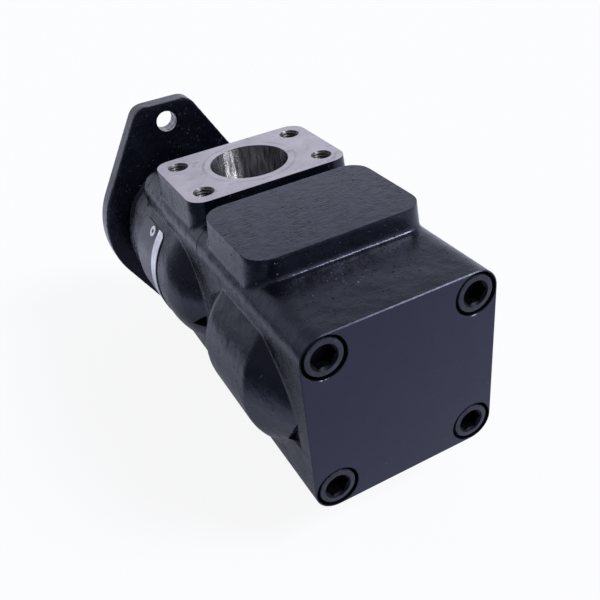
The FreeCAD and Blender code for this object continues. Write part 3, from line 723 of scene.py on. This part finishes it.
def make_front_housing():
    """The block, the swelling, the inlet pad and the outlet pad, then all their machining."""
    square = rounded_rectangle(HALF, HALF, COLUMN)
    forms = [stack("form", [along_y(square, y, SIDE) for y in (MID_JOINT - 5, FRONT_JOINT + 5)]),
             swelling(-116.5, FRONT_JOINT + 5, 24.0, 0, 38.0, 0),
             pad(SIDE, PORT_Y, PAD_U, PAD_V, 10.0, [(45.0, 2.1), (PORT_TOP + 3, 0.0)]),
             pad(SIDE, OUT_Y, 39.0, 24.0, 10.0, [(OUT_FACE - 3, 0.0), (-45.0, 0.0)])]
    whole = cast("front_casting", forms, 6)
    machine(whole, [slab(FRONT_JOINT - SEAM, 20), slab(-250, MID_JOINT + SEAM),
                    in_finish(slab(-200, 0, PORT_TOP, 100), port_iron),
                    in_finish(slab(-200, 0, -100, OUT_FACE), port_iron)],
            [rod(CHAMBER, GEARS_2 + PLATE, MID_JOINT + 3, OFFSET)])
    floor, spigot = GEARS_1 - GEAR_W - PLATE, GEARS_2 + PLATE
    inlet = [(22.9, PORT_TOP - 22), (INLET_R, PORT_TOP - 21.1), (INLET_R, PORT_TOP - 0.35),
             (25.0, PORT_TOP + 1)]
    outlet = [(14.0, OUT_FACE - 1), (OUTLET_R, OUT_FACE + 0.5), (OUTLET_R, OUT_FACE + 22)]
    holes = [rod(CHAMBER + RING_RUN, floor, FRONT_JOINT + 2, OFFSET), rod(BUSH_R, spigot - 2, floor + 2),
             upright(18.0, 30.0, PORT_TOP - 21, SIDE, PORT_Y),
             stack("tool", [along_z(circle(r), z, SIDE, PORT_Y) for r, z in inlet]),
             stack("tool", [along_z(circle(r), z, SIDE, OUT_Y) for r, z in outlet]),
             upright(9.0, OUT_FACE + 21, -29.0, SIDE, OUT_Y)]
    holes += [in_finish(tap(5.1, 1.75, PORT_TOP - 15, PORT_TOP, x, y), thread_iron)
              for x, y in four_holes(PORT_Y, INLET_ROWS)]
    holes += [in_finish(tap(4.25, 1.5, OUT_FACE + 14, OUT_FACE, x, y, 32), thread_iron)
              for x, y in four_holes(OUT_Y, OUTLET_ROWS)]
    holes += passages(spigot - 2, floor + 2)
    holes += [rod(SCREW_HOLE_R, MID_JOINT - 3, FRONT_JOINT + 3, x, z, 48) for x, z in SCREWS]
    holes += [seal_groove(FRONT_JOINT), pin_hole(floor - 8, floor + 1), pin_hole(spigot - 1, spigot + 8)]
    holes.append(pocket([(-139.5, -2.0), (-135.0, -17.0), (-125.5, -14.5)], -42.0, -33.0))
    return machine(whole, holes + dowel_holes(MID_JOINT) + dowel_holes(FRONT_JOINT))


def make_rear_housing():
    """The longer block with its swelling and the pad left as cast, then the rear face and the bores."""
    square = rounded_rectangle(HALF, HALF, COLUMN)
    forms = [stack("form", [along_y(square, y, SIDE) for y in (REAR - 5, MID_JOINT + 5)]),
             swelling(-226.0, -177.0, 31.0, 34.0, 5.0, 5.0),
             pad(SIDE, BLANK_Y, PAD_U, PAD_V, 13.0, [(45.0, 2.1), (PORT_TOP + 0.85, 0.0)])]
    whole = cast("rear_casting", forms, 6)
    machine(whole, [slab(MID_JOINT - SEAM, 20), in_finish(slab(-300, 0, PORT_TOP, 100), filed_paint)], (),
            [in_finish(planed_end(REAR, MID_JOINT + 30, 0.5), smooth_paint)])
    floor = GEARS_2 - GEAR_W - PLATE
    holes = [rod(CHAMBER + RING_RUN, floor, MID_JOINT + 2, OFFSET), rod(BUSH_R, floor - 28, floor + 1),
             seal_groove(MID_JOINT), pin_hole(floor - 8, floor + 1)]
    holes.append(pocket([(-257.5, 4.0), (-257.5, -19.5), (-243.0, -20.0), (-250.5, -9.0)], -41.0, -32.8))
    counterbore = [(REAR - 1, 13.5), (REAR + 0.3, COUNTERBORE_R), (SCREW_SEAT, COUNTERBORE_R)]
    for x, z in SCREWS:
        holes.append(rod(SCREW_HOLE_R, REAR - 2, MID_JOINT + 2, x, z, 48))
        holes.append(in_finish(turned("tool", counterbore, x, z, 72), housing_paint))
    return machine(whole, holes + dowel_holes(MID_JOINT))


front_casting = make_front_housing()
rear_casting = make_rear_housing()
for piece in (front_casting, rear_casting):
    shade(piece)
    print(piece.name, len(piece.data.polygons), "faces")


# %% [markdown]
# ## Finishes for the solids that stay
#
# Everything inside keeps its own solid and gets the finish of its real material: ground steel for gears,
# shafts and pins, bronze for bushes, plates and fillers, rubber for seals. The cap screws are drawn again
# in black oxide, with a conical mouth to each socket and rounded heads almost level with the face.


# %% Plain finishes
def ground_steel():
    f = Finish("ground_steel", metallic=1.0, roughness=0.25)
    at = f.place()
    lines = f.noise(f.place(scale=(1, 12, 1)), 5.0, 3.0)
    colour = f.between(f.noise(at, 8.0), (0.50, 0.50, 0.52), (0.62, 0.62, 0.64))
    return f.set(Base_Color=colour, Roughness=f.ramp(lines, (0.3, 0.2), (0.7, 0.36)),
                 Normal=f.relief(lines, 0.01))


def bronze():
    f = Finish("bearing_bronze", metallic=1.0, roughness=0.35)
    at = f.place()
    colour = f.between(f.noise(at, 6.0, 3.0), (0.42, 0.27, 0.10), (0.60, 0.40, 0.17))
    return f.set(Base_Color=colour, Roughness=f.ramp(f.noise(at, 3.0), (0.3, 0.28), (0.7, 0.45)))


def rubber():
    f = Finish("seal_rubber", roughness=0.6)
    at = f.place()
    colour = f.between(f.noise(at, 2.0), (0.012, 0.012, 0.012), (0.025, 0.024, 0.024))
    return f.set(Base_Color=colour, Roughness=f.ramp(f.noise(at, 1.0), (0.3, 0.5), (0.7, 0.7)))


def black_oxide(name, share):
    """Blued steel. The share darkens its colour and gloss, as painted shade inside the sockets."""
    f = Finish(name, metallic=0.6, roughness=0.4, specular_ior_level=0.5 * share)
    at = f.place()
    dark, light = (tuple(share * c for c in tone) for tone in ((0.020, 0.022, 0.032), (0.045, 0.048, 0.065)))
    colour = f.between(f.noise(at, 3.0, 3.0), dark, light)
    return f.set(Base_Color=colour, Roughness=f.ramp(f.noise(at, 1.5, 2.0), (0.3, 0.32), (0.7, 0.5)),
                 Normal=f.relief(f.noise(at, 0.5, 2.0), 0.02))


def label_sheet():
    """A dark field, left bare, and a bright metal margin along the plate's rear edge, whose last hair's breadth
    is dark again. The sheet's y decides between them."""
    f = Finish("nameplate_sheet", roughness=0.3)
    at = f.place()
    y = f.axes(at)[1]
    margin = (y < -83.2 * MM) * (y > -91.8 * MM)
    line = (y > -87.4 * MM) * (y < -86.6 * MM)
    field = f.between(f.noise(at, 8.0, 3.0), (0.08, 0.08, 0.105), (0.13, 0.13, 0.165))
    silver = f.mix(line * 0.4, f.mix(f.noise(at, 5.0), (0.86, 0.86, 0.90), (0.97, 0.97, 1.0)), (0.4, 0.4, 0.43))
    return f.set(Base_Color=f.mix(margin, field, silver), Metallic=margin * 0.85,
                 Roughness=f.ramp(f.noise(at, 4.0), (0.3, 0.26), (0.7, 0.40)))


def rivet_metal():
    """Bright drive rivets; a near-black disc in the middle of each head is painted shade for its hollow. A
    point's distance from its rivet's axis is sqrt((y - y0)^2 + t^2), where t = x sin a + |z| cos a runs round
    the barrel."""
    f = Finish("rivet_aluminium", metallic=0.8, roughness=0.35)
    at = f.place()
    x, y, z = f.axes(at)
    a = math.radians(RIVET_ANGLE)
    around = x * math.sin(a) + abs(z) * math.cos(a)
    away = ((y - RIVET_Y * MM) ** 2.0 + around ** 2.0) ** 0.5
    colour = f.between(f.noise(at, 1.0), (0.82, 0.82, 0.86), (0.95, 0.95, 0.98))
    # The near-black disc in the head is painted shade for the rivet's hollow.
    colour = f.mix(away < 1.3 * MM, colour, (0.01, 0.01, 0.012))
    return f.set(Base_Color=colour, Roughness=f.ramp(f.noise(at, 0.7), (0.3, 0.3), (0.7, 0.45)))


FINISH_OF = {"ground_steel": ground_steel(), "bronze": bronze(), "seal_rubber": rubber(),
             "black_steel": black_oxide("black_oxide_steel", 1.0), "nameplate_paint": label_sheet(),
             "rivet_metal": rivet_metal()}


def make_screws():
    """The four cap screws. In the photo the heads lie almost level with the face. A socket is a hexagonal
    prism, 6.93 mm from its axis to a corner, and a cone opens its mouth."""
    top, steel = REAR + 0.4, FINISH_OF["black_steel"]
    profile = [(-41.0, 6.0), (-42.0, 7.0), (SCREW_SEAT, 7.0), (SCREW_SEAT, 10.5), (top + 0.8, 10.5),
               (top + 0.2, 10.2), (top, 9.6)]
    screws = [in_finish(turned("cap_screws_turned", profile, x, z, 72), steel) for x, z in SCREWS]
    machine(screws[0], (), screws[1:])
    # The sockets' dimmed oxide is painted shade inside them.
    socket_shade = black_oxide("black_oxide_socket", 0.2)
    mouth = [(top - 1, 8.6), (top, 7.5), (top + 1.6, 5.9)]
    sockets = []
    for x, z in SCREWS:
        for rings in ([along_y(circle(6.93, 6), y, x, z) for y in (top - 1, top + 7)],
                      [along_y(circle(r, 48), y, x, z) for y, r in mouth]):
            sockets.append(in_finish(stack("tool", rings), socket_shade))
    return machine(screws[0], sockets)


screws = make_screws()
shade(screws, 30)
SLOT_OF = {part["node"]: part["material_slot"] for part in frame["record"]["subparts"]}
CASTINGS = {"mounting_flange": flange, "front_housing": front_casting, "rear_housing": rear_casting}
for name, node in frame["nodes"].items():
    if name not in CASTINGS and name != "cap_screws":
        node.data.materials.clear()
        node.data.materials.append(FINISH_OF[SLOT_OF[name]])
        node.data.shade_smooth()
        node.data.set_sharp_from_angle(angle=math.radians(30))
for name, piece in (CASTINGS | {"cap_screws": screws}).items():
    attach(piece, "housing")
    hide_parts(name)
print("solids given a finish:", len(frame["nodes"]) - len(CASTINGS) - 1)

# %% [markdown]
# ## Floor and light
#
# The floor is nearly white to the camera, and a tenth of it is a plain matt floor that holds the pump's
# soft shadow. Glossy paint mirrors what lies around it, so the surroundings shape the dark castings:
# a floor that darkens far out on the left, a sky that is dark there and overhead, and a bright wall low
# down on the right. A wide sun on the same side gives the rims their light.


# %% Stage
def tree_nodes(tree):
    """A function that adds a node to a tree with its settings and inputs, and returns its outputs."""
    def node(kind, settings=None, inputs=None):
        made = tree.nodes.new(kind)
        for key, value in (settings or {}).items():
            setattr(made, key, value)
        for key, value in (inputs or {}).items():
            if isinstance(value, bpy.types.NodeSocket):
                tree.links.new(value, made.inputs[key])
            else:
                made.inputs[key].default_value = value
        return made.outputs
    return node


def tree_maths(node):
    """The same for Math nodes: a function of an operation and its values, which returns the result."""
    def maths(operation, *values):
        return node("ShaderNodeMath", {"operation": operation}, dict(enumerate(values)))[0]
    return maths


def make_floor(near, far):
    """A wide sheet just under the flange's lower ear. To the camera it is nearly white. The matt floor that
    mirrors see goes from pale to dark between two distances to the left, along -(x + 0.35 y)."""
    low = cad_box[0][2] / MM - 0.5
    floor = stack("floor", [along_z(circle(r, 64), low + h, SIDE, -130) for r, h in ((4000, -5), (4000, 0))])
    material = bpy.data.materials.new("floor")
    material.use_nodes = True
    tree = material.node_tree
    tree.nodes.clear()
    node = tree_nodes(tree)
    maths = tree_maths(node)
    x, y, _ = node("ShaderNodeSeparateXYZ", {}, {0: node("ShaderNodeTexCoord")["Object"]})
    leftward = maths("MULTIPLY_ADD", x, -1.0, maths("MULTIPLY", y, -0.35))
    gone = node("ShaderNodeMapRange", {"interpolation_type": "SMOOTHSTEP"},
                {"Value": leftward, "From Min": near * MM, "From Max": far * MM})[0]
    path = node("ShaderNodeLightPath")
    mirrors = maths("ADD", path["Is Glossy Ray"], path["Is Transmission Ray"])
    to_mirrors = maths("MULTIPLY", mirrors, maths("MULTIPLY_ADD", gone, -0.12, 0.12))
    to_camera = maths("MULTIPLY", path["Is Camera Ray"], maths("MULTIPLY_ADD", gone, 0.10, 0.90))
    pale = node("ShaderNodeValToRGB", {}, {"Fac": gone})
    ramp = tree.nodes[-1].color_ramp
    ramp.elements[0].color, ramp.elements[1].color = (0.82, 0.85, 1.0, 1), (0.14, 0.15, 0.18, 1)
    matt = node("ShaderNodeBsdfDiffuse", {}, {"Color": pale[0]})[0]
    glow = node("ShaderNodeEmission", {}, {"Color": (1, 1, 1, 1), "Strength": 1.0})[0]
    blend = node("ShaderNodeMixShader", {}, {0: maths("ADD", to_camera, to_mirrors), 1: matt, 2: glow})[0]
    node("ShaderNodeOutputMaterial", {}, {"Surface": blend})
    floor.data.materials.append(material)
    return floor


def make_world(ceiling, left, right):
    """A studio sky. Strength = ceiling above, fading toward the zenith, and below it a wall that goes from dark
    on the left to bright on the right: smooth steps of the direction's height z and of x + y / 2."""
    world = bpy.data.worlds.new("studio")
    bpy.context.scene.world = world
    world.use_nodes = True
    node = tree_nodes(world.node_tree)
    maths = tree_maths(node)

    def step(value, start, end, before=0.0, after=1.0):
        return node("ShaderNodeMapRange", {"interpolation_type": "SMOOTHSTEP"},
                    {"Value": value, "From Min": start, "From Max": end, "To Min": before, "To Max": after})[0]

    x, y, z = node("ShaderNodeSeparateXYZ", {}, {0: node("ShaderNodeTexCoord")["Generated"]})
    across = step(maths("MULTIPLY_ADD", y, 0.5, x), -0.6, 0.0, left, right)
    above = step(z, 0.46, 0.62)
    roof = maths("MULTIPLY", above, step(z, 0.75, 0.97, ceiling, ceiling * 0.2))
    level = maths("ADD", roof, maths("MULTIPLY", maths("MULTIPLY_ADD", above, -1.0, 1.0), across))
    background = world.node_tree.nodes["Background"]
    background.inputs["Color"].default_value = (0.86, 0.89, 1.02, 1)
    world.node_tree.links.new(level, background.inputs["Strength"])


def make_lamp(name, kind, toward, at, power, **settings):
    """A lamp at a point, turned so that it shines toward another."""
    data = bpy.data.lights.new(name, kind)
    data.energy = power
    for key, value in settings.items():
        setattr(data, key, value)
    lamp = bpy.data.objects.new(name, data)
    direction = Vector(toward) * MM - Vector(at) * MM
    aim = direction.to_track_quat("-Z", "Y").to_matrix().to_4x4()
    lamp.matrix_world = Matrix.Translation(Vector(at) * MM) @ aim
    bpy.context.scene.collection.objects.link(lamp)
    return lamp


floor = make_floor(250, 420)
make_world(0.50, 0.28, 0.95)
MIDDLE = (SIDE, -130, 0)
make_lamp("key", "SUN", MIDDLE, (SIDE + 560, -130 - 500, 700), 2.4, angle=math.radians(20))
print("floor at z =", round(floor.data.vertices[0].co.z, 4))
